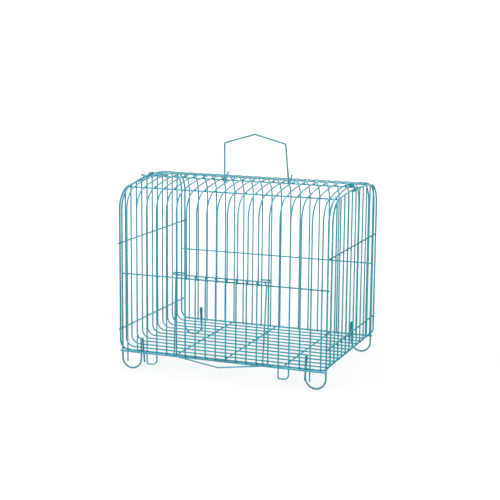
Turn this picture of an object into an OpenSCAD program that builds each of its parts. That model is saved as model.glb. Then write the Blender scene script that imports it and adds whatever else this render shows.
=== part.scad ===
// Wire bird travel carrier: two bent wire grids that interlock, a sliding door, a carry handle
// and two side latches. The origin is on the ground under the middle of the cage.
// +X is to the right of the door, -Y is the door side and +Z is up.

/* [Wire] */
// Diameter of the bars and cross rods
bar_d = 2; // [1.6:0.1:2.4]
// Diameter of the hoops, feet, bottom rods and grid edges
frame_d = 2.4; // [2:0.1:3]
// Diameter of the handle wire
handle_d = 2.4; // [2:0.1:2.8]
// Diameter of the latch wire
latch_d = 1.8; // [1.4:0.1:2]

/* [Front, roof and back grid] */
// Distance between the two end hoops
cage_w = 294.4; // [288:0.2:300]
// Distance between the front and the back bars
cage_d = 211; // [190:1:230]
// Height of the roof bars above the front bottom rod
roof_h = 234.5; // [220:0.5:250]
// Radius of the roof arch
roof_radius = 353; // [300:1:400]
// Radius of the bend between a wall and the roof
roof_corner = 30; // [20:1:34]
// Number of bars
bar_count = 20; // [20:1:20]
// Spacing of the bars
bar_pitch = 14.7; // [14.2:0.1:15]
// Height of the front and back middle rods above the front bottom rod
middle_rod_h = 108; // [95:1:120]
// Place of the front roof rod, from the middle of the cage
roof_front_y = -77; // [-78:1:-60]
// Place of the middle roof rod, from the middle of the cage
roof_middle_y = -12; // [-13:0.5:-7]
// Place of the back roof rod, from the middle of the cage
roof_back_y = 61; // [50:1:76]

/* [Floor and side grid] */
// Distance from the top of the roof arch down to the top of the side arch
side_drop = 5.1; // [4.9:0.1:5.7]
// Radius of the side arch
side_radius = 700; // [600:10:900]
// Number of bars between the two edges
side_bars = 11; // [9:2:13]
// Height of the floor bars above the front bottom rod
floor_lift = 1; // [0.5:0.1:3]
// Radius of the bend between the floor and a side
floor_bend = 12; // [6:1:20]
// Height of the lower side rods above the front bottom rod
side_lower_h = 30.5; // [25:0.5:60]
// Height of the upper side rods above the front bottom rod
side_upper_h = 150.5; // [130:0.5:180]
// Length of a side rod beyond the hoops
side_rod_end = 5; // [2:0.5:8]
// Place of the left floor rod
floor_left_x = -70; // [-90:1:-40]
// Place of the right floor rod
floor_right_x = 85; // [40:1:90]

/* [Feet and prongs] */
// Radius of a foot loop
foot_bend = 14.1; // [11:0.1:16]
// Depth of a foot loop below the bottom rod
foot_drop = 23.5; // [18:0.5:30]
// Height of the clip's bend above the bottom rod
clip_rise = 19; // [10:1:30]
// Depth of the clip's free end and of the prongs below the bottom rod
prong_drop = 15; // [8:0.5:17]
// Lean of the clip's free end towards the middle of the cage
clip_lean = 2.5; // [0:0.5:4]
// Depth of a tray hook below the bottom rod
hook_drop = 15.5; // [10:0.5:18]
// Radius of the tray hook's wide bend
hook_bend = 6.5; // [4:0.5:8]

/* [Door] */
// Free play between the door's wires and the bars that they slide on
door_play = 0.4; // [0.3:0.1:0.8]
// Number of bars in the door
door_bars = 8; // [8:1:8]
// Height of the door's top rod above the front middle rod
door_rise = 5.5; // [2:0.1:10]
// Rise of the guide hairpins behind the bars
guide_rise = 2; // [1:0.5:3]
// Length of the guide hairpin's free end behind the bars
guide_end = 13.5; // [8:0.5:13.5]
// Reach of the door's lip in front of its bottom rod
lip_reach = 10.5; // [7:0.5:16]
// Drop of the door's lip below its bottom rod
lip_drop = 8.4; // [2:0.2:12]

/* [Handle] */
// Height of the handle's left shoulder above the front bottom rod
shoulder_h = 284; // [270:1:300]
// Rise of the right shoulder above the left one
shoulder_rise = 2; // [0:0.5:4]
// Height of the handle's peak above the front bottom rod
handle_h = 297.5; // [290:0.5:310]
// Place of the handle's left foot
handle_left_x = -33.9; // [-34:0.1:-25]
// Place of the handle's right foot
handle_right_x = 60; // [54:0.5:62]
// Distance that the left shoulder stands outside its foot
left_spread = 0.2; // [-4:0.1:4]
// Distance that the right shoulder stands inside its foot
right_lean = 5; // [0:0.1:10]
// Free play of the handle's hooks on the roof rod
handle_play = 0.25; // [0.2:0.05:0.5]
// Length of the handle's free ends behind the rod
tail_length = 14.5; // [8:0.5:20]

/* [Latches] */
// Free play of a latch on its hoop and round the side arch
latch_play = 0.3; // [0.2:0.05:0.4]
// Distance between the two legs of a latch
latch_w = 6; // [5:0.2:6.4]
// Reach of the thumb loop beyond the hoop
thumb_reach = 16.2; // [12:0.2:20]

/* [Hidden] */
paint = [0.33, 0.72, 0.80];

wire_fn = 24;
bead_fn = 48;
small_fn = 96;
large_fn = 360;
weld_gap = 0.02;
rod_end = 0.6;
side_rod_gap = 0.2;

// Where two stretches of one wire meet at an odd angle, a bead a little thicker than the wire
// joins them, and each stretch stops just short of the bead's middle
bead_rise = 0.03;
bead_gap = 0.05;
bead_seam = 40;

bar_r = bar_d / 2;
frame_r = frame_d / 2;
handle_r = handle_d / 2;
latch_r = latch_d / 2;
flush = frame_r - bar_r;

// Heights above the ground
base_z = foot_drop + frame_r;
roof_z = base_z + roof_h;
middle_z = base_z + middle_rod_h;
floor_z = base_z + floor_lift;

// Planes of the front, roof and back grid
bar_y = cage_d / 2;
hoop_x = cage_w / 2;
hoop_y = bar_y + flush;
inner_rod_y = bar_y - 2 * bar_r - weld_gap;
bottom_rod_y = hoop_y + 2 * frame_r + weld_gap;
rod_half = hoop_x + frame_r + rod_end;
function bar_x(k) = (k - (bar_count + 1) / 2) * bar_pitch;

// Planes of the floor and side grid
edge_y = hoop_y - 2 * frame_r - weld_gap;
side_rod_x = hoop_x + frame_r + bar_r + weld_gap;
side_bar_x = side_rod_x + 2 * bar_r + weld_gap;
edge_x = side_bar_x + flush;
floor_rod_z = floor_z - 2 * bar_r - weld_gap;
side_pitch = 2 * edge_y / (side_bars + 1);

// The curve of an arch of half width w: centre height of the top arc, its half angle, and the
// height at which the corner bends start, to a hundredth so that wall and bend end alike
function arc_z(top, radius) = top - radius;
function arc_angle(w, radius, corner) = asin((w - corner) / (radius - corner));
function spring_z(w, top, radius, corner) =
    round(100 * (arc_z(top, radius) + (radius - corner) * cos(arc_angle(w, radius, corner)))) / 100;
function arch_z(y, w, top, radius, corner) =
    abs(y) < radius * sin(arc_angle(w, radius, corner))
        ? arc_z(top, radius) + sqrt(radius * radius - y * y)
        : spring_z(w, top, radius, corner) + sqrt(corner * corner - pow(abs(y) - w + corner, 2));
roof_spring_z = spring_z(bar_y, roof_z, roof_radius, roof_corner);
side_top_z = roof_z - side_drop;
side_spring_z = spring_z(edge_y, side_top_z, side_radius, roof_corner);

// Height of a roof rod that lies under the roof bars at y, to a thousandth
under_roof = 2 * bar_r + weld_gap;
function roof_rod_z(y) =
    arc_z(roof_z, roof_radius)
        + round(1000 * sqrt(pow(roof_radius - under_roof, 2) - y * y)) / 1000;

// Straight round wire between two points; open is 1 for an end that lies in a bead
module wire(from, to, r, open = [0, 0]) {
    run = to - from;
    length = norm(run);
    translate(from)
        rotate([0, acos(run.z / length), atan2(run.y, run.x)])
            translate([0, 0, bead_gap * open[0]])
                cylinder(h = length - bead_gap * (open[0] + open[1]), r = r, $fn = wire_fn);
}

// Round wire bent in the XY plane to a radius about the origin, with open as above
module bend(radius, start, sweep, r, open = [0, 0], fn = small_fn) {
    gap = asin(bead_gap / radius) * sign(sweep);
    rotate([0, 0, start + gap * open[0]])
        rotate_extrude(angle = sweep - gap * (open[0] + open[1]), $fn = fn)
            translate([radius, 0]) circle(r = r, $fn = wire_fn);
}

// Bead in a wire of radius r that runs along a direction, with its poles inside the wire
module bead(at, along, r) {
    translate(at)
        rotate([0, acos(along.z / norm(along)), atan2(along.y, along.x)])
            rotate(bead_seam) sphere(r = r + bead_rise, $fn = bead_fn);
}

// Stands an outline drawn in X and Y up in the plane of Y and Z
module side_plane() {
    rotate([90, 0, 90]) children();
}

// Stands an outline drawn in X and Y up in the plane of X and Z
module front_plane() {
    rotate([90, 0, 0]) children();
}

// Bent top of an arch, in the plane of Y and Z
module arch_top(w, top, radius, corner, r) {
    half = arc_angle(w, radius, corner);
    spring = spring_z(w, top, radius, corner);
    side_plane() {
        translate([0, arc_z(top, radius)]) {
            bend(radius, 90 - half, 2 * half, r, [1, 1], large_fn);
            bead(radius * [sin(half), cos(half), 0], [cos(half), -sin(half), 0], r);
            bead(radius * [-sin(half), cos(half), 0], [cos(half), sin(half), 0], r);
        }
        translate([w - corner, spring]) bend(corner, 0, 90 - half, r, [0, 1]);
        translate([corner - w, spring]) bend(corner, 180, half - 90, r, [0, 1]);
    }
}

// One wire of the front, roof and back grid at x, with its front and back lower ends
module grid_bar(x, front_end, back_end) {
    translate([x, 0, 0]) {
        arch_top(bar_y, roof_z, roof_radius, roof_corner, bar_r);
        wire([0, -bar_y, front_end], [0, -bar_y, roof_spring_z], bar_r);
        wire([0, bar_y, back_end], [0, bar_y, roof_spring_z], bar_r);
    }
}
bar_end = base_z - frame_r;

// Rod along X from one end to the other
module cross_rod(y, z, half, r) {
    wire([-half, y, z], [half, y, z], r);
}

// End hoop: its inner face is flush with the inner faces of the bars
hoop_end = base_z - frame_r - weld_gap;
hoop_top = roof_z + flush;
hoop_radius = roof_radius + flush;
hoop_corner = roof_corner + flush;
hoop_spring_z = spring_z(hoop_y, hoop_top, hoop_radius, hoop_corner);
module hoop(x) {
    translate([x, 0, 0]) {
        arch_top(hoop_y, hoop_top, hoop_radius, hoop_corner, frame_r);
        wire([0, -hoop_y, hoop_end], [0, -hoop_y, hoop_spring_z], frame_r);
        wire([0, hoop_y, hoop_end], [0, hoop_y, hoop_spring_z], frame_r);
    }
}
module left_hoop() {
    color(paint) hoop(-hoop_x);
}
module right_hoop() {
    color(paint) hoop(hoop_x);
}

// Foot at the front left corner: the hoop's wire goes on into a round loop, rises in front of
// the floor's edge wire, bends over it and ends in a stub on the inner side
foot_z = base_z - foot_drop + foot_bend;
leg_x = hoop_x - 2 * foot_bend;
clip_y = edge_y - 2 * frame_r - latch_play;
clip_bend = (hoop_y - clip_y) / 2;
clip_z = base_z + clip_rise - clip_bend;
module foot() {
    wire([-hoop_x, -hoop_y, foot_z], [-hoop_x, -hoop_y, hoop_end - weld_gap], frame_r);
    translate([-hoop_x + foot_bend, -hoop_y, foot_z])
        front_plane() bend(foot_bend, 180, 180, frame_r);
    wire([-leg_x, -hoop_y, foot_z], [-leg_x, -hoop_y, clip_z], frame_r);
    translate([-leg_x, clip_bend - hoop_y, clip_z])
        side_plane() bend(clip_bend, 180, -180, frame_r, [0, 1]);
    bead([-leg_x, -clip_y, clip_z], [0, 0, 1], frame_r);
    wire([-leg_x, -clip_y, clip_z], [clip_lean - leg_x, -clip_y, base_z - prong_drop],
        frame_r, [1, 0]);
}
module front_left_foot() {
    color(paint) foot();
}
module front_right_foot() {
    color(paint) mirror([1, 0, 0]) foot();
}
module back_left_foot() {
    color(paint) mirror([0, 1, 0]) foot();
}
module back_right_foot() {
    color(paint) mirror([1, 0, 0]) mirror([0, 1, 0]) foot();
}

// Bars whose front ends go on below the bottom rod as straight prongs
left_prong = 1;
right_prong = 19;
module left_prong_bar() {
    color(paint) grid_bar(bar_x(left_prong), base_z - prong_drop, bar_end);
}
module right_prong_bar() {
    color(paint) grid_bar(bar_x(right_prong), base_z - prong_drop, bar_end);
}

// Bars whose front ends are bent to a hook for the tray, up to the next bar's end
left_hook = 3;
right_hook = 16;
hook_corner = 2 * bar_r;
hook_z = base_z - hook_drop;
module hook_bar(k) {
    wide = bar_pitch - hook_corner - hook_bend;
    grid_bar(bar_x(k), hook_z + hook_corner, bar_end);
    translate([bar_x(k), -bar_y, 0]) {
        translate([hook_corner, 0, hook_z + hook_corner])
            front_plane() bend(hook_corner, 180, 90, bar_r);
        wire([hook_corner, 0, hook_z], [hook_corner + wide, 0, hook_z], bar_r);
        translate([hook_corner + wide, 0, hook_z + hook_bend])
            front_plane() bend(hook_bend, 270, 90, bar_r);
        wire([bar_pitch, 0, hook_z + hook_bend], [bar_pitch, 0, bar_end - weld_gap], bar_r);
    }
}
module left_hook_bar() {
    color(paint) hook_bar(left_hook);
}
module right_hook_bar() {
    color(paint) hook_bar(right_hook);
}

// Plain bars to the left of the doorway, over it and to the right of it
door_first = bar_count / 2 - door_bars / 2 + 1;
door_last = door_first + door_bars - 1;
module left_bars() {
    color(paint)
        for (k = [1 : door_first - 1])
            if (k != left_prong && k != left_hook) grid_bar(bar_x(k), bar_end, bar_end);
}
module centre_bars() {
    color(paint)
        for (k = [door_first : door_last]) grid_bar(bar_x(k), middle_z - bar_r, bar_end);
}
module right_bars() {
    color(paint)
        for (k = [door_last + 1 : bar_count])
            if (k != right_prong && k != right_hook) grid_bar(bar_x(k), bar_end, bar_end);
}

// Rods that carry the bars: on their inner side, and outside them at the bottom
module front_middle_rod() {
    color(paint) cross_rod(-inner_rod_y, middle_z, rod_half, bar_r);
}
module back_middle_rod() {
    color(paint) cross_rod(inner_rod_y, middle_z, rod_half, bar_r);
}
module roof_front_rod() {
    color(paint) cross_rod(roof_front_y, roof_rod_z(roof_front_y), rod_half, bar_r);
}
module roof_back_rod() {
    color(paint) cross_rod(roof_back_y, roof_rod_z(roof_back_y), rod_half, bar_r);
}
module front_bottom_rod() {
    color(paint) cross_rod(-bottom_rod_y, base_z, rod_half, frame_r);
}
module back_bottom_rod() {
    color(paint) cross_rod(bottom_rod_y, base_z, rod_half, frame_r);
}

// The middle roof rod carries the handle. Its ends pass over the side arches and hook down
// outside them, so that the sides can't spring outwards
middle_rod_z = roof_rod_z(roof_middle_y);
end_bend = 2 * bar_r;
end_x = edge_x + frame_r + latch_play + bar_r;
end_drop = 4.2;
module rod_hook() {
    translate([end_x - end_bend, roof_middle_y, middle_rod_z - end_bend])
        front_plane() bend(end_bend, 0, 90, bar_r);
    wire([end_x, roof_middle_y, middle_rod_z - end_drop],
        [end_x, roof_middle_y, middle_rod_z - end_bend], bar_r);
}
module roof_middle_rod() {
    color(paint) {
        cross_rod(roof_middle_y, middle_rod_z, end_x - end_bend, bar_r);
        rod_hook();
        mirror([1, 0, 0]) rod_hook();
    }
}

// Wire of the floor and side grid: half width, y, floor height, top ends and radius
module floor_wire(half, y, z, top, r) {
    wire([floor_bend - half, y, z], [half - floor_bend, y, z], r);
    for (side = [-1, 1]) wire([side * half, y, z + floor_bend], [side * half, y, top], r);
    translate([half - floor_bend, y, z + floor_bend])
        front_plane() bend(floor_bend, 270, 90, r);
    translate([floor_bend - half, y, z + floor_bend])
        front_plane() bend(floor_bend, 180, 90, r);
}
module front_edge_wire() {
    color(paint)
        floor_wire(edge_x, -edge_y, floor_z + flush, side_spring_z - weld_gap, frame_r);
}
module back_edge_wire() {
    color(paint)
        floor_wire(edge_x, edge_y, floor_z + flush, side_spring_z - weld_gap, frame_r);
}
module floor_bars() {
    color(paint)
        for (j = [1 : side_bars]) {
            y = side_pitch * j - edge_y;
            top = arch_z(y, edge_y, side_top_z, side_radius, roof_corner) - frame_r - side_rod_gap;
            floor_wire(side_bar_x, y, floor_z, top, bar_r);
        }
}

// Arched top wires of the sides
module left_side_arch() {
    color(paint)
        translate([-edge_x, 0, 0])
            arch_top(edge_y, side_top_z, side_radius, roof_corner, frame_r);
}
module right_side_arch() {
    color(paint)
        translate([edge_x, 0, 0])
            arch_top(edge_y, side_top_z, side_radius, roof_corner, frame_r);
}

// Rods on the inner face of the sides, whose ends stand out past the hoops, and rods under
// the floor
side_rod_half = hoop_y + frame_r + side_rod_end;
module side_rod(x, h) {
    wire([x, -side_rod_half, base_z + h], [x, side_rod_half, base_z + h], bar_r);
}
module left_lower_rod() {
    color(paint) side_rod(-side_rod_x, side_lower_h);
}
module left_upper_rod() {
    color(paint) side_rod(-side_rod_x, side_upper_h);
}
module right_lower_rod() {
    color(paint) side_rod(side_rod_x, side_lower_h);
}
module right_upper_rod() {
    color(paint) side_rod(side_rod_x, side_upper_h);
}
module floor_rod(x) {
    half = edge_y + frame_r;
    wire([x, -half, floor_rod_z], [x, half, floor_rod_z], bar_r);
}
module floor_left_rod() {
    color(paint) floor_rod(floor_left_x);
}
module floor_middle_rod() {
    color(paint) floor_rod(0);
}
module floor_right_rod() {
    color(paint) floor_rod(floor_right_x);
}

// Door: its rods lie in front of the bars, and its bars in front of its rods. It stands on
// the front bottom rod, and its top rod ends in hairpins that run on the guide bars
seat_gap = 0.2;
door_rod_y = -bar_y - 2 * bar_r - door_play;
door_bar_y = door_rod_y - 2 * bar_r - weld_gap;
door_z = base_z + frame_r + bar_r + seat_gap;
door_top_z = middle_z + door_rise;
guide_x = bar_x(door_last + 1);
guide_turn = 1.2;
guide_span = 2 * (bar_r + bar_r + door_play);
guide_bend = norm([guide_span, guide_rise]) / 2;
guide_tilt = atan2(guide_rise, guide_span);
module guide_hairpin() {
    turn_x = guide_x + guide_turn;
    near = [turn_x, door_rod_y, door_top_z];
    far = near + [0, guide_span, guide_rise];
    translate((near + far) / 2)
        rotate([guide_tilt, 0, 0]) bend(guide_bend, -90, 180, bar_r, [1, 1]);
    bead(near, [1, 0, 0], bar_r);
    bead(far, [1, 0, 0], bar_r);
    wire(far - [guide_end, 0, 0], far, bar_r, [0, 1]);
}
module door_top_rod() {
    turn_x = guide_x + guide_turn;
    color(paint) {
        wire([-turn_x, door_rod_y, door_top_z], [turn_x, door_rod_y, door_top_z], bar_r, [1, 1]);
        guide_hairpin();
        mirror([1, 0, 0]) guide_hairpin();
    }
}

// Side wires of the door: each has a kink under the top rod and leans to the left
kink_drop = 5;
side_top_x = 62.5;
side_kink_x = 65;
left_foot_x = -67.5;
right_foot_x = 60.5;
module kinked_wire(top_x, kink_x, foot_x) {
    kink = [kink_x, door_bar_y, door_top_z - kink_drop];
    wire(kink, [top_x, door_bar_y, door_top_z + bar_r], bar_r, [1, 0]);
    bead(kink, [0, 0, 1], bar_r);
    wire([foot_x, door_bar_y, door_z - bar_r], kink, bar_r, [0, 1]);
}
module door_left_wire() {
    color(paint) kinked_wire(-side_top_x, -side_kink_x, left_foot_x);
}
module door_right_wire() {
    color(paint) kinked_wire(side_top_x, side_kink_x, right_foot_x);
}
module door_bars() {
    color(paint)
        for (k = [door_first : door_last])
            wire([bar_x(k), door_bar_y, door_z - bar_r],
                [bar_x(k), door_bar_y, door_top_z + bar_r], bar_r);
}
lip_x = 69;
module door_bottom_rod() {
    color(paint) cross_rod(door_rod_y, door_z, lip_x - weld_gap, bar_r);
}

// Pull lip: one wire that turns forward from the ends of the bottom rod and slopes down to a
// blunt point in the middle. Its slopes are drawn flat, then tilted about the ends of the turns
lip_turn = bar_r + 1.6;
lip_run = lip_reach - 2 * lip_turn;
lip_tilt = atan2(lip_drop, lip_run);
lip_length = norm([lip_run, lip_drop]);
lip_slope = atan2(lip_length, lip_x);
lip_round = 9;
lip_cut = lip_round * tan(lip_slope);
module lip_half() {
    run = [cos(lip_slope), sin(lip_slope), 0];
    tip = [0, -lip_length, 0] + lip_cut * run;
    heel = [lip_x, 0, 0];
    bead(heel, run, bar_r);
    bead(tip, run, bar_r);
    wire(tip, heel, bar_r, [1, 1]);
}
module door_lip() {
    rise = lip_length - lip_round / cos(lip_slope);
    color(paint)
        translate([0, door_rod_y, door_z]) {
            for (side = [0, 1]) mirror([side, 0, 0])
                translate([lip_x, -lip_turn, 0]) bend(lip_turn, -90, 180, bar_r, [1, 0]);
            translate([0, -2 * lip_turn, 0])
                rotate([lip_tilt, 0, 0]) {
                    lip_half();
                    mirror([1, 0, 0]) lip_half();
                    translate([0, -rise, 0])
                        bend(lip_round, 270 - lip_slope, 2 * lip_slope, bar_r, [1, 1]);
                }
        }
}

// Carry handle: one wire in front of the middle roof rod. Each leg passes down between two
// bars, hooks under the rod and ends in a free tail that leans back
hook_r = bar_r + handle_r + handle_play;
handle_y = roof_middle_y - hook_r;
tail_tilt = 35;
shoulder_round = 3;
peak_round = 4;
function corner_cut(a, b, c, radius) =
    let (u = (a - b) / norm(a - b), v = (c - b) / norm(c - b))
    radius / tan(acos(u * v) / 2);
module round_corner(a, b, c, radius, r) {
    u = (a - b) / norm(a - b);
    v = (c - b) / norm(c - b);
    half = acos(u * v) / 2;
    mid = (u + v) / norm(u + v);
    facing = atan2(-mid.y, -mid.x);
    translate(b + radius / sin(half) * mid)
        bend(radius, facing + half - 90, 180 - 2 * half, r, [1, 1]);
    cut = radius / tan(half);
    for (way = [u, v]) bead([b.x + cut * way.x, b.y + cut * way.y, 0], [way.x, way.y, 0], r);
}
module handle_leg(x) {
    translate([x, roof_middle_y, middle_rod_z]) {
        side_plane() bend(hook_r, 180, 180 - tail_tilt, handle_r, [1, 1]);
        bead([0, -hook_r, 0], [0, 0, 1], handle_r);
        rotate([-tail_tilt, 0, 0]) {
            bead([0, hook_r, 0], [0, 0, 1], handle_r);
            wire([0, hook_r, 0], [0, hook_r, tail_length], handle_r, [1, 0]);
        }
    }
}
module carry_handle() {
    left_foot = [handle_left_x, middle_rod_z];
    left_knee = [handle_left_x, middle_rod_z + 2 * handle_r];
    left = [handle_left_x - left_spread, base_z + shoulder_h];
    right = [handle_right_x - right_lean, base_z + shoulder_h + shoulder_rise];
    right_knee = [handle_right_x, middle_rod_z + 2 * handle_r];
    peak = [(left.x + right.x) / 2, base_z + handle_h];
    points = [left_knee, left, peak, right, right_knee];
    rounds = [0, shoulder_round, peak_round, shoulder_round, 0];
    color(paint) {
        translate([0, handle_y, 0])
            front_plane() {
                for (i = [0 : len(points) - 2]) {
                    run = (points[i + 1] - points[i]) / norm(points[i + 1] - points[i]);
                    cut = i == 0 ? 0
                        : corner_cut(points[i - 1], points[i], points[i + 1], rounds[i]);
                    next = i == len(points) - 2 ? 0
                        : corner_cut(points[i], points[i + 1], points[i + 2], rounds[i + 1]);
                    from = points[i] + cut * run;
                    to = points[i + 1] - next * run;
                    wire([from.x, from.y, 0], [to.x, to.y, 0], handle_r, [1, 1]);
                }
                for (i = [1 : len(points) - 2])
                    round_corner(points[i - 1], points[i], points[i + 1], rounds[i], handle_r);
                for (knee = [left_knee, right_knee]) {
                    bead([knee.x, knee.y, 0], [0, 1, 0], handle_r);
                    wire([knee.x, middle_rod_z, 0], [knee.x, knee.y, 0], handle_r, [1, 1]);
                }
            }
        handle_leg(handle_left_x);
        handle_leg(handle_right_x);
    }
}

// Side latch, drawn for the right side in the plane of X and Z about its hoop: two wire legs
// turn on the hoop and hook under the side arch, and a flat thumb loop joins them outside
pivot_z = arch_z(roof_middle_y, hoop_y, roof_z + flush, roof_radius + flush, roof_corner + flush);
arch_at = [edge_x - hoop_x,
    arch_z(roof_middle_y, edge_y, side_top_z, side_radius, roof_corner) - pivot_z];
eye_r = frame_r + latch_r + latch_play;
arch_fall = atan2(-arch_at.y, arch_at.x);
leg_facing = 90 - arch_fall;
eye_sweep = 230;
lip_angle = -75;
thumb_rise = 2.2;
module latch_leg() {
    side = eye_r * [cos(leg_facing), sin(leg_facing)];
    shoulder = arch_at + side;
    front_plane() {
        bend(eye_r, leg_facing, eye_sweep, latch_r, [1, 0]);
        bead([side.x, side.y, 0], [arch_at.x, arch_at.y, 0], latch_r);
        wire([side.x, side.y, 0], [shoulder.x, shoulder.y, 0], latch_r, [1, 1]);
        bead([shoulder.x, shoulder.y, 0], [arch_at.x, arch_at.y, 0], latch_r);
        translate(arch_at)
            bend(eye_r, lip_angle, leg_facing - lip_angle, latch_r, [0, 1]);
    }
}
module latch() {
    loop_r = latch_w / 2;
    shoulder = arch_at + eye_r * [cos(leg_facing), sin(leg_facing)];
    reach = thumb_reach - latch_r - loop_r - shoulder.x;
    tilt = atan2(thumb_rise, reach + loop_r);
    length = reach / cos(tilt);
    for (side = [-1, 1]) translate([0, side * loop_r, 0]) latch_leg();
    translate([shoulder.x, 0, shoulder.y])
        rotate([0, -tilt, 0]) {
            for (side = [-1, 1]) {
                wire([0, side * loop_r, 0], [length, side * loop_r, 0], latch_r, [1, 1]);
                bead([length, side * loop_r, 0], [1, 0, 0], latch_r);
            }
            translate([length, 0, 0]) bend(loop_r, -90, 180, latch_r, [1, 1]);
        }
}
module right_latch() {
    color(paint) translate([hoop_x, roof_middle_y, pivot_z]) latch();
}
module left_latch() {
    color(paint) mirror([1, 0, 0]) translate([hoop_x, roof_middle_y, pivot_z]) latch();
}

left_hoop();
right_hoop();
front_left_foot();
front_right_foot();
back_left_foot();
back_right_foot();
left_prong_bar();
left_hook_bar();
right_hook_bar();
right_prong_bar();
left_bars();
centre_bars();
right_bars();
front_middle_rod();
back_middle_rod();
roof_front_rod();
roof_middle_rod();
roof_back_rod();
front_bottom_rod();
back_bottom_rod();
front_edge_wire();
back_edge_wire();
floor_bars();
left_side_arch();
right_side_arch();
left_lower_rod();
left_upper_rod();
right_lower_rod();
right_upper_rod();
floor_left_rod();
floor_middle_rod();
floor_right_rod();
door_top_rod();
door_left_wire();
door_right_wire();
door_bars();
door_bottom_rod();
door_lip();
carry_handle();
left_latch();
right_latch();
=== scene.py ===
"""A wire bird travel carrier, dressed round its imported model.

Every wire is a node of the model and keeps its shape. The welds between the wires and the drops
of coating on their cut ends are added here, with the finish of each wire.
"""

import math

import bmesh
import bpy
from mathutils import Matrix, Vector


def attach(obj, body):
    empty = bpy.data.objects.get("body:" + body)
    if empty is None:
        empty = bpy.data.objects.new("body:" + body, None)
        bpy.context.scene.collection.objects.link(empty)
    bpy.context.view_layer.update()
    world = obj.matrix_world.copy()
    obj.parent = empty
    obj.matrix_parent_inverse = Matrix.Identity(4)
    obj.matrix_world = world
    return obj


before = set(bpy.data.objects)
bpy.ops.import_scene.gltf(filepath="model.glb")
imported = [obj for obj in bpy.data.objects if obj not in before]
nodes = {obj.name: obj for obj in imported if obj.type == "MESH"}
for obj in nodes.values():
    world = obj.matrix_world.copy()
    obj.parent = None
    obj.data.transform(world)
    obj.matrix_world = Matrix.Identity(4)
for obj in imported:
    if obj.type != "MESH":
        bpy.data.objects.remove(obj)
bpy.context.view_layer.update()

# End hoops. Each is one 2.4 mm steel wire bent over an end of the cage. Like every other wire
# it has been dipped in a turquoise coat, paler in clouds where it ran thin. Near the welded
# crossings the coat is painted darker as shade.
mm = 0.001
bottom_z = 24.7 * mm
middle_z = 132.7 * mm
lower_side_z = 55.2 * mm
upper_side_z = 175.2 * mm
coat_deep = (0.012, 0.280, 0.365)
coat_full = (0.018, 0.335, 0.430)
coat_thin = (0.036, 0.405, 0.500)
deep_at = 0.36
full_at = 0.50
thin_at = 0.66
# Painted shade: the coat colour is multiplied by this near the welded crossings.
crossing_shade_tint = (0.60, 0.78, 0.82)
primer = (0.20, 0.24, 0.25)
# Each pattern is given as its scale, its detail and its roughness.
clouds = (34.0, 3.0, 0.55)
specks = (620.0, 2.0, 0.6)
chip_spots = (210.0, 4.0, 0.7)
orange_peel = (1100.0, 1.5, 0.5)
speck_span = (0.3, 0.7)
mottle_span = (0.86, 1.10)
glossier = 0.08
duller = 0.10
chip_edge = 0.012
chip_dullness = 0.25
peel_strength = 0.35
peel_depth = 0.12 * mm


def add_node(tree, kind, **values):
    """Adds a shader node and sets its inputs or its own settings by name."""
    node = tree.nodes.new(kind)
    for key, value in values.items():
        if key in node.inputs:
            node.inputs[key].default_value = value
        else:
            setattr(node, key, value)
    return node


def reckon(tree, operation, *terms):
    """Reckons with terms that are each a plain number or what another node puts out."""
    node = add_node(tree, "ShaderNodeMath", operation=operation)
    for socket, term in zip(node.inputs, terms):
        if isinstance(term, float):
            socket.default_value = term
        else:
            tree.links.new(term, socket)
    return node.outputs[0]


def stretch(tree, value, before, after, **settings):
    """Stretches a value from one span to another, each given as its two ends."""
    node = add_node(tree, "ShaderNodeMapRange", **settings)
    tree.links.new(value, node.inputs["Value"])
    for key, end in zip(("From Min", "From Max", "To Min", "To Max"), (*before, *after)):
        node.inputs[key].default_value = end
    return node.outputs["Result"]


def coat_pattern(tree, mapping, scale, detail, roughness):
    """A noise pattern in the coat, fixed to the wire."""
    noise = add_node(tree, "ShaderNodeTexNoise", Scale=scale, Detail=detail,
                     Roughness=roughness)
    tree.links.new(mapping.outputs["Vector"], noise.inputs["Vector"])
    return noise.outputs["Fac"]


def near_weld(tree, place, axis, position, reach):
    """A mask that is 1 on the plane at a position along an axis and fades to 0 over a reach."""
    apart = reckon(tree, "ABSOLUTE", reckon(tree, "SUBTRACT", place.outputs[axis], position))
    return stretch(tree, apart, (0.0, reach), (1.0, 0.0), interpolation_type="SMOOTHSTEP")


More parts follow.
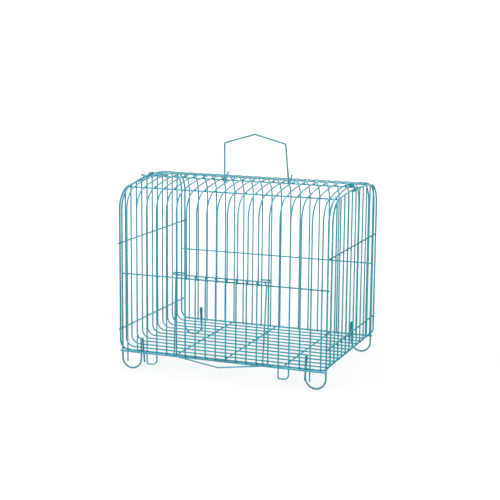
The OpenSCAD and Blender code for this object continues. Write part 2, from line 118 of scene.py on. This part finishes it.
def coated_wire(name, shift, deep, full, thin, rough, chips, shade_crossings=()):
    """Dipped coat: clouds of thin and thick coat, fine mottle and peel, chips, and painted shade
    near the welded crossings.
    """
    material = bpy.data.materials.new(name)
    material.use_nodes = True
    tree = material.node_tree
    link = tree.links.new
    shader = tree.nodes["Principled BSDF"]
    shader.inputs["Metallic"].default_value = 0.0
    shader.inputs["IOR"].default_value = 1.45
    shader.inputs["Coat Weight"].default_value = 0.10
    shader.inputs["Coat Roughness"].default_value = 0.16
    where = add_node(tree, "ShaderNodeTexCoord")
    mapping = add_node(tree, "ShaderNodeMapping", Location=shift)
    link(where.outputs["Object"], mapping.inputs["Vector"])

    tone = add_node(tree, "ShaderNodeValToRGB")
    ramp = tone.color_ramp.elements
    ramp[0].position = deep_at
    ramp[0].color = (*deep, 1.0)
    ramp[1].position = thin_at
    ramp[1].color = (*thin, 1.0)
    ramp.new(full_at).color = (*full, 1.0)
    link(coat_pattern(tree, mapping, *clouds), tone.inputs["Fac"])

    speck = coat_pattern(tree, mapping, *specks)
    mottled = add_node(tree, "ShaderNodeVectorMath", operation="SCALE")
    link(tone.outputs["Color"], mottled.inputs[0])
    link(stretch(tree, speck, speck_span, mottle_span), mottled.inputs["Scale"])
    colour = mottled.outputs["Vector"]

    # Painted shade: the coat is darkened near the welded crossings given in the last argument.
    if shade_crossings:
        place = add_node(tree, "ShaderNodeSeparateXYZ")
        link(where.outputs["Object"], place.inputs["Vector"])
        crossing_shade = near_weld(tree, place, *shade_crossings[0])
        for weld in shade_crossings[1:]:
            crossing_shade = reckon(tree, "MAXIMUM", crossing_shade, near_weld(tree, place, *weld))
        crossing_shade_mix = add_node(tree, "ShaderNodeMix", data_type="RGBA", blend_type="MULTIPLY")
        link(crossing_shade, crossing_shade_mix.inputs["Factor"])
        link(colour, crossing_shade_mix.inputs["A"])
        crossing_shade_mix.inputs["B"].default_value = (*crossing_shade_tint, 1.0)
        colour = crossing_shade_mix.outputs["Result"]

    bare = stretch(tree, coat_pattern(tree, mapping, *chip_spots), (chips, chips + chip_edge),
                   (0.0, 1.0), interpolation_type="SMOOTHSTEP")
    worn = add_node(tree, "ShaderNodeMix", data_type="RGBA")
    link(bare, worn.inputs["Factor"])
    link(colour, worn.inputs["A"])
    worn.inputs["B"].default_value = (*primer, 1.0)
    link(worn.outputs["Result"], shader.inputs["Base Color"])

    dull = stretch(tree, speck, speck_span, (rough - glossier, rough + duller))
    link(reckon(tree, "MULTIPLY_ADD", bare, chip_dullness, dull), shader.inputs["Roughness"])

    peel = coat_pattern(tree, mapping, *orange_peel)
    bump = add_node(tree, "ShaderNodeBump", Strength=peel_strength, Distance=peel_depth)
    link(reckon(tree, "SUBTRACT", peel, bare), bump.inputs["Height"])
    link(bump.outputs["Normal"], shader.inputs["Normal"])
    return material


def finish_node(name, material):
    """Gives a node of the model its material."""
    nodes[name].data.materials.clear()
    nodes[name].data.materials.append(material)


# The last list gives the welded crossings where the coat is painted darker as shade.
hoop_coat = coated_wire("hoop_coat", (0.3, 0.1, 0.7), coat_deep, coat_full, coat_thin,
                        0.30, 0.765,
                        [("Z", bottom_z, 2.6 * mm), ("Z", middle_z, 2.4 * mm),
                         ("Z", lower_side_z, 2.4 * mm), ("Z", upper_side_z, 2.4 * mm)])
for name in ("left_hoop", "right_hoop"):
    finish_node(name, hoop_coat)

# Feet. The hoop's wire goes on into a round loop that carries the cage, rises behind the bottom
# rod, bends over the floor's edge wire and ends in a short stub, with a drop of coat on its end.
# The coat is painted darker and greyer here than on the rest of the hoop, as painted shade at
# the bottom of the cage.
# Painted shade: darker, greyer coat colours for the feet at the bottom of the cage.
shaded_foot_deep = (0.022, 0.215, 0.268)
shaded_foot_full = (0.030, 0.258, 0.318)
shaded_foot_thin = (0.050, 0.320, 0.388)
shaded_foot_coat = coated_wire("shaded_foot_coat", (0.9, 0.4, 0.2), shaded_foot_deep, shaded_foot_full, shaded_foot_thin,
                        0.32, 0.74, [("Z", bottom_z, 2.4 * mm)])
for name in ("front_left_foot", "front_right_foot", "back_left_foot", "back_right_foot"):
    finish_node(name, shaded_foot_coat)


def rounded_beads(name, beads, facets, material, body):
    """One piece of beads, each given as its place, direction, half width and half depth."""
    mesh = bmesh.new()
    for place, way, width, depth in beads:
        turn = Vector(way).to_track_quat("Z", "Y").to_matrix().to_4x4()
        size = Matrix.Diagonal((width, width, depth, 1.0))
        bmesh.ops.create_uvsphere(mesh, u_segments=facets[0], v_segments=facets[1], radius=1.0,
                                  matrix=Matrix.Translation(place) @ turn @ size)
    data = bpy.data.meshes.new(name)
    mesh.to_mesh(data)
    mesh.free()
    data.shade_smooth()
    piece = bpy.data.objects.new(name, data)
    bpy.context.scene.collection.objects.link(piece)
    data.materials.append(material)
    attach(piece, body)


# The sizes of a drop are shares of its wire's radius.
drop_sink = 0.35
drop_width = 1.07
drop_depth = 0.62
drop_facets = (14, 8)
drop_coat = coated_wire("drop_coat", (0.5, 0.5, 0.1), coat_deep, coat_deep, coat_full,
                        0.22, 0.90)


def coat_drops(name, ends, body):
    """Drops of coat on cut wire ends, each given as its point, direction and wire radius."""
    beads = [(Vector(point) - drop_sink * radius * Vector(way).normalized(), way,
              drop_width * radius, drop_depth * radius) for point, way, radius in ends]
    rounded_beads(name, beads, drop_facets, drop_coat, body)


hoop_radius = 1.2 * mm
clip_y = 100.58 * mm
stub_x = 116.5 * mm
prong_z = 9.7 * mm
# A stub leans inwards by the first of these for each fall by the second.
stub_lean = 2.5
stub_fall = 31.4
coat_drops("foot_end_drops",
           [((side * stub_x, row * clip_y, prong_z), (-side * stub_lean, 0, -stub_fall),
             hoop_radius) for side in (-1, 1) for row in (-1, 1)],
           "cage")

# Bars of the front, roof and back. Each is one 2 mm wire bent over the roof. Those over the
# doorway stop at the middle rod in front, and two more on each side end in a prong or a hook.
bar_count = 20
bar_pitch = 14.7 * mm
bar_radius = 1.0 * mm
bar_y = 105.5 * mm
# Heights of the welded crossings where the coat is painted darker as shade.
bar_shade_crossings = [("Z", bottom_z, 2.4 * mm), ("Z", middle_z, 2.2 * mm)]
left_coat = coated_wire("bar_coat_left", (0.1, 0.8, 0.3), coat_deep, coat_full, coat_thin,
                        0.30, 0.775, bar_shade_crossings)
centre_coat = coated_wire("bar_coat_centre", (0.6, 0.2, 0.9), coat_deep, coat_full, coat_thin,
                          0.28, 0.775, bar_shade_crossings)
right_coat = coated_wire("bar_coat_right", (0.4, 0.7, 0.6), coat_deep, coat_full, coat_thin,
                         0.31, 0.775, bar_shade_crossings)
for name, bar_coat in (("left_bars", left_coat), ("left_prong_bar", left_coat),
                       ("left_hook_bar", centre_coat), ("centre_bars", centre_coat),
                       ("right_hook_bar", right_coat), ("right_prong_bar", right_coat),
                       ("right_bars", right_coat)):
    finish_node(name, bar_coat)


def bar_x(number):
    """Where a bar stands, counted from the left."""
    return (number - (bar_count + 1) / 2) * bar_pitch


bars = range(1, bar_count + 1)
prongs = (1, 19)
hooks = (3, 16)
door_bars = range(7, 15)
plain_end_z = 23.5 * mm
down = (0, 0, -1)
bar_ends = [((bar_x(k), -bar_y, prong_z), down, bar_radius) for k in prongs]
bar_ends += [((bar_x(k), -bar_y, plain_end_z), down, bar_radius) for k in bars
             if k not in prongs and k not in hooks and k not in door_bars]
bar_ends += [((bar_x(k), bar_y, plain_end_z), down, bar_radius) for k in bars]
coat_drops("bar_end_drops", bar_ends, "cage")

# Rods across the bars: one low and one at half height in front and at the back, and three under
# the roof. They are spot welded to every bar, and the melted steel fills the corners there.
rod_coat = coated_wire("rod_coat", (0.2, 0.3, 0.8), coat_deep, coat_full, coat_thin,
                       0.32, 0.76)
for name in ("front_middle_rod", "back_middle_rod", "roof_front_rod", "roof_middle_rod",
             "roof_back_rod", "front_bottom_rod", "back_bottom_rod"):
    finish_node(name, rod_coat)
weld_width = 1.55 * mm
weld_depth = 0.85 * mm
weld_facets = (10, 6)
weld_coat = coated_wire("weld_coat", (0.7, 0.9, 0.4), coat_deep, coat_deep, coat_full,
                        0.36, 0.80)


def weld_nuggets(name, spots, body):
    """Melted steel between crossed wires, each spot given as its place and direction."""
    beads = [(place, way, weld_width, weld_depth) for place, way in spots]
    rounded_beads(name, beads, weld_facets, weld_coat, body)


hoop_x = 147.2 * mm
middle_weld_y = 104.49 * mm
bottom_weld_y = 106.7 * mm
backwards = (0, 1, 0)
all_x = [bar_x(k) for k in bars] + [-hoop_x, hoop_x]
beside_door_x = [bar_x(k) for k in bars if k not in door_bars] + [-hoop_x, hoop_x]
for name, row, low_x in (("front_welds", -1, beside_door_x), ("back_welds", 1, all_x)):
    weld_nuggets(name,
                 [((x, row * middle_weld_y, middle_z), backwards) for x in all_x]
                 + [((x, row * bottom_weld_y, bottom_z), backwards) for x in low_x],
                 "cage")

roof_front_y = -77.0 * mm
roof_middle_y = -12.0 * mm
roof_back_y = 61.0 * mm
roof_z = 259.2 * mm
roof_radius = 353.0 * mm
roof_centre_z = roof_z - roof_radius
roof_spots = []
for y in (roof_front_y, roof_middle_y, roof_back_y):
    z = roof_centre_z + math.sqrt((roof_radius - bar_radius) ** 2 - y * y)
    roof_spots += [((x, y, z), (0, y, z - roof_centre_z)) for x in all_x]
weld_nuggets("roof_welds", roof_spots, "cage")

# Edge wires of the floor and side grid. Each 2.4 mm wire runs down a side, under the floor and
# up the other side, and the clips of the feet hold it from above.
# Heights of the welded crossings where the coat is painted darker as shade.
side_shade_crossings = [("Z", lower_side_z, 2.2 * mm), ("Z", upper_side_z, 2.2 * mm)]
edge_coat = coated_wire("edge_coat", (0.8, 0.6, 0.5), coat_deep, coat_full, coat_thin,
                        0.31, 0.765, side_shade_crossings)
for name in ("front_edge_wire", "back_edge_wire"):
    finish_node(name, edge_coat)

# Bars of the floor and sides: eleven 2 mm wires, each bent to a U that is the cage's left side,
# floor and right side. Their tops are butt welded under the arched wires of the sides.
floor_coat = coated_wire("floor_coat", (0.3, 0.9, 0.2), coat_deep, coat_full, coat_thin,
                         0.34, 0.755, side_shade_crossings)
finish_node("floor_bars", floor_coat)
arch_coat = coated_wire("arch_coat", (0.6, 0.1, 0.1), coat_deep, coat_full, coat_thin,
                        0.30, 0.765)
for name in ("left_side_arch", "right_side_arch"):
    finish_node(name, arch_coat)
edge_x = 151.64 * mm
edge_y = 103.28 * mm
side_bar_count = 11
side_bar_x = 151.44 * mm
side_pitch = 2 * edge_y / (side_bar_count + 1)
side_ys = [side_pitch * j - edge_y for j in range(side_bar_count + 2)]
arch_z = 254.1 * mm
arch_radius = 700.0 * mm
arch_centre_z = arch_z - arch_radius
arch_corner = 30.0 * mm
arch_wide = edge_y - arch_corner
arch_turn = math.asin(arch_wide / (arch_radius - arch_corner))
arch_spring_z = arch_centre_z + (arch_radius - arch_corner) * math.cos(arch_turn)


def side_arch_z(y):
    """Height of the middle of the side arch at y."""
    if abs(y) < arch_radius * math.sin(arch_turn):
        return arch_centre_z + math.sqrt(arch_radius ** 2 - y * y)
    return arch_spring_z + math.sqrt(arch_corner ** 2 - (abs(y) - arch_wide) ** 2)


upwards = (0, 0, 1)
butt_drop = 1.25 * mm
butt_size = (1.3 * mm, 0.7 * mm)
spring_size = (1.32 * mm, 0.5 * mm)
butts = [((side * side_bar_x, y, side_arch_z(y) - butt_drop), upwards, *butt_size)
         for y in side_ys[1:-1] for side in (-1, 1)]
butts += [((side * edge_x, row * edge_y, arch_spring_z), upwards, *spring_size)
          for side in (-1, 1) for row in (-1, 1)]
rounded_beads("arch_welds", butts, weld_facets, weld_coat, "cage")

# Rods on the inner face of the sides and under the floor. The ends of the side rods stand out
# past the hoops in front and behind, and their cut ends carry drops of coat.
for name in ("left_lower_rod", "left_upper_rod", "right_lower_rod", "right_upper_rod",
             "floor_left_rod", "floor_middle_rod", "floor_right_rod"):
    finish_node(name, rod_coat)
side_rod_x = 149.42 * mm
side_weld_x = (side_bar_x + side_rod_x) / 2
side_rod_zs = (lower_side_z, upper_side_z)
weld_nuggets("side_welds",
             [((side * side_weld_x, y, z), (1, 0, 0))
              for side in (-1, 1) for y in side_ys for z in side_rod_zs],
             "cage")
floor_z = 25.7 * mm
floor_rod_z = 23.68 * mm
floor_rod_xs = (-70.0 * mm, 0.0, 85.0 * mm)
floor_weld_z = (floor_z + floor_rod_z) / 2
weld_nuggets("floor_welds",
             [((x, y, floor_weld_z), upwards) for x in floor_rod_xs for y in side_ys],
             "cage")
side_rod_half = 111.9 * mm
drop_set_back = 0.1 * mm
coat_drops("side_rod_drops",
           [((side * side_rod_x, row * (side_rod_half - drop_set_back), z), (0, row, 0),
             bar_radius) for side in (-1, 1) for row in (-1, 1) for z in side_rod_zs],
           "cage")

# Door. Ten upright wires are welded to a top and a bottom rod. The top rod's ends turn back
# behind the bars beside the doorway as hairpins, which guide the door when it is lifted.
door_bar_y = -109.92 * mm
door_rod_y = -107.9 * mm
door_bottom_z = 27.1 * mm
door_top_z = 138.2 * mm
# The last list gives the welded crossings where the coat is painted darker as shade.
door_coat = coated_wire("door_coat", (0.15, 0.45, 0.75), coat_deep, coat_full, coat_thin,
                        0.29, 0.765,
                        [("Z", door_bottom_z, 2.2 * mm), ("Z", door_top_z, 2.2 * mm)])
for name in ("door_top_rod", "door_left_wire", "door_right_wire", "door_bars",
             "door_bottom_rod", "door_lip"):
    finish_node(name, door_coat)
door_side_top = 62.5 * mm
door_side_feet = (-67.3 * mm, 60.6 * mm)
door_weld_y = (door_bar_y + door_rod_y) / 2
crossings = [(bar_x(k), z) for k in door_bars for z in (door_bottom_z, door_top_z)]
crossings += [(side * door_side_top, door_top_z) for side in (-1, 1)]
crossings += [(x, door_bottom_z) for x in door_side_feet]
weld_nuggets("door_welds", [((x, door_weld_y, z), backwards) for x, z in crossings],
             "door")
hairpin_x = 53.85 * mm
hairpin_y = -103.1 * mm
hairpin_z = 140.2 * mm
door_ends = [((side * hairpin_x, hairpin_y, hairpin_z), (-side, 0, 0), bar_radius)
             for side in (-1, 1)]
door_ends += [((bar_x(k), door_bar_y, z), (0, 0, way), bar_radius) for k in door_bars
              for z, way in ((door_bottom_z - bar_radius, -1), (door_top_z + bar_radius, 1))]
coat_drops("door_end_drops", door_ends, "door")

# Carry handle: one 2.4 mm wire with a blunt peak for the hand. Each leg hooks under the middle
# roof rod and ends in a free tail. The coat is rubbed dull and a little greyer.
rubbed_deep = (0.050, 0.262, 0.305)
rubbed_full = (0.072, 0.318, 0.364)
rubbed_thin = (0.108, 0.386, 0.432)
handle_coat = coated_wire("handle_coat", (0.55, 0.35, 0.95), rubbed_deep, rubbed_full,
                          rubbed_thin, 0.36, 0.72)
finish_node("carry_handle", handle_coat)
handle_axis_z = 256.975 * mm
handle_hook = 2.45 * mm
tail_xs = (-33.9 * mm, 60.0 * mm)
tail_length = 14.5 * mm
tail_tilt = math.radians(35.0)
tail_y = roof_middle_y + handle_hook * math.cos(tail_tilt) + tail_length * math.sin(tail_tilt)
tail_z = handle_axis_z - handle_hook * math.sin(tail_tilt) + tail_length * math.cos(tail_tilt)
tail_way = (0, math.sin(tail_tilt), math.cos(tail_tilt))
coat_drops("handle_end_drops", [((x, tail_y, tail_z), tail_way, hoop_radius) for x in tail_xs],
           "handle")

# Side latches. Each is a small bent wire that turns on the end hoop and hooks under the arched
# side wire, with a flat loop outside for the thumb.
latch_coat = coated_wire("latch_coat", (0.25, 0.65, 0.35), coat_deep, coat_full, coat_thin,
                         0.30, 0.75)
for name in ("left_latch", "right_latch"):
    finish_node(name, latch_coat)

# Studio: a pale paper sweep under soft lamps at a plain level. The camera and reflections see
# the paper glow white, a little less near the cage, where its faint shadow shows. All other
# light meets it as plain pale paper.
paper_half = 3.0
sweep_back = 1.6
sweep_radius = 0.6
sweep_steps = 16
wall_height = 3.0
sweep = bmesh.new()


def draw_out(edges, shift):
    """Draws edges of the paper out by a shift and gives the edges at its new rim."""
    made = bmesh.ops.extrude_edge_only(sweep, edges=edges)["geom"]
    rim = [v for v in made if isinstance(v, bmesh.types.BMVert)]
    bmesh.ops.translate(sweep, verts=rim, vec=shift)
    return [e for e in made if isinstance(e, bmesh.types.BMEdge)
            and all(v in rim for v in e.verts)]


front_corners = [sweep.verts.new((side * paper_half, -paper_half, 0.0)) for side in (-1, 1)]
floor_rim = draw_out([sweep.edges.new(front_corners)], (0, paper_half + sweep_back, 0))
bmesh.ops.spin(sweep, geom=floor_rim, cent=(0, sweep_back, sweep_radius), axis=(1, 0, 0),
               angle=math.pi / 2, steps=sweep_steps)
top = [v for v in sweep.verts if v.co.z > sweep_radius - mm]
draw_out([e for e in sweep.edges if all(v in top for v in e.verts)], (0, 0, wall_height))
bmesh.ops.recalc_face_normals(sweep, faces=sweep.faces)
paper_data = bpy.data.meshes.new("paper_sweep")
sweep.to_mesh(paper_data)
sweep.free()
paper_data.shade_smooth()
paper = bpy.data.objects.new("paper_sweep", paper_data)
bpy.context.scene.collection.objects.link(paper)


def seen_ray(tree):
    """1 where the camera or a reflection looks, and 0 where light is gathered."""
    ray = add_node(tree, "ShaderNodeLightPath")
    return reckon(tree, "MAXIMUM", ray.outputs["Is Camera Ray"], ray.outputs["Is Glossy Ray"])


white = (1.0, 1.0, 1.0, 1.0)
paper_grey = (0.85, 0.85, 0.85, 1.0)
shadow_grey = (0.22, 0.22, 0.22, 1.0)
shadow_reach = (0.3, 0.8)
glow_span = (0.75, 1.0)
paper_white = bpy.data.materials.new("paper_white")
paper_white.use_nodes = True
paper_tree = paper_white.node_tree
paper_tree.nodes.clear()
paper_link = paper_tree.links.new
spot = add_node(paper_tree, "ShaderNodeTexCoord")
distance = add_node(paper_tree, "ShaderNodeVectorMath", operation="LENGTH")
paper_link(spot.outputs["Object"], distance.inputs[0])
glow = add_node(paper_tree, "ShaderNodeEmission", Color=white)
paper_link(stretch(paper_tree, distance.outputs["Value"], shadow_reach, glow_span,
                   interpolation_type="SMOOTHSTEP"), glow.inputs["Strength"])
shaded = add_node(paper_tree, "ShaderNodeBsdfDiffuse", Color=shadow_grey)
shown = add_node(paper_tree, "ShaderNodeAddShader")
paper_link(shaded.outputs[0], shown.inputs[0])
paper_link(glow.outputs[0], shown.inputs[1])
lit = add_node(paper_tree, "ShaderNodeBsdfDiffuse", Color=paper_grey)
choose = add_node(paper_tree, "ShaderNodeMixShader")
paper_link(seen_ray(paper_tree), choose.inputs["Fac"])
paper_link(lit.outputs[0], choose.inputs[1])
paper_link(shown.outputs[0], choose.inputs[2])
paper_surface = add_node(paper_tree, "ShaderNodeOutputMaterial")
paper_link(choose.outputs[0], paper_surface.inputs["Surface"])
paper_data.materials.append(paper_white)

room_span = (0.26, 1.0)
room = bpy.data.worlds.new("studio")
bpy.context.scene.world = room
room.use_nodes = True
room_tree = room.node_tree
background = room_tree.nodes["Background"]
background.inputs["Color"].default_value = white
room_tree.links.new(stretch(room_tree, seen_ray(room_tree), (0.0, 1.0), room_span),
                    background.inputs["Strength"])


def soft_lamp(name, place, aim, size, power):
    """A square area lamp that faces a point."""
    data = bpy.data.lights.new(name, "AREA")
    data.shape = "SQUARE"
    data.size = size
    data.energy = power
    lamp = bpy.data.objects.new(name, data)
    bpy.context.scene.collection.objects.link(lamp)
    lamp.location = place
    lamp.rotation_euler = (Vector(aim) - Vector(place)).to_track_quat("-Z", "Y").to_euler()


soft_lamp("key_lamp", (-1.3, -1.5, 1.9), (0, 0, 0.12), 1.4, 40.0)
soft_lamp("fill_lamp", (1.9, -1.2, 1.2), (0, 0, 0.12), 1.6, 10.0)
soft_lamp("top_lamp", (0.1, 0.5, 2.4), (0, 0, 0.10), 1.8, 42.0)

# Camera, found from the straight rods and bars of the photograph. It looks at the front of the
# cage from a little to the right of it and a little above.
lens = 93.19
camera_place = Vector((636.4, -1665.1, 482.4)) * mm
yaw = 0.3655
pitch = 0.1797
roll = 0.0094
back_way = Vector((math.sin(yaw) * math.cos(pitch), -math.cos(yaw) * math.cos(pitch),
                   math.sin(pitch)))
level_way = Vector((math.cos(yaw), math.sin(yaw), 0))
upright_way = back_way.cross(level_way)
right_way = math.cos(roll) * level_way + math.sin(roll) * upright_way
up_way = back_way.cross(right_way)
camera_data = bpy.data.cameras.new("camera")
camera_data.sensor_width = 36.0
camera_data.lens = lens
camera_data.clip_start = 0.05
camera = bpy.data.objects.new("camera", camera_data)
bpy.context.scene.collection.objects.link(camera)
camera.matrix_world = Matrix.Translation(camera_place) @ Matrix(
    (right_way, up_way, back_way)).transposed().to_4x4()
bpy.context.scene.camera = camera
bpy.context.scene.view_settings.view_transform = "Standard"
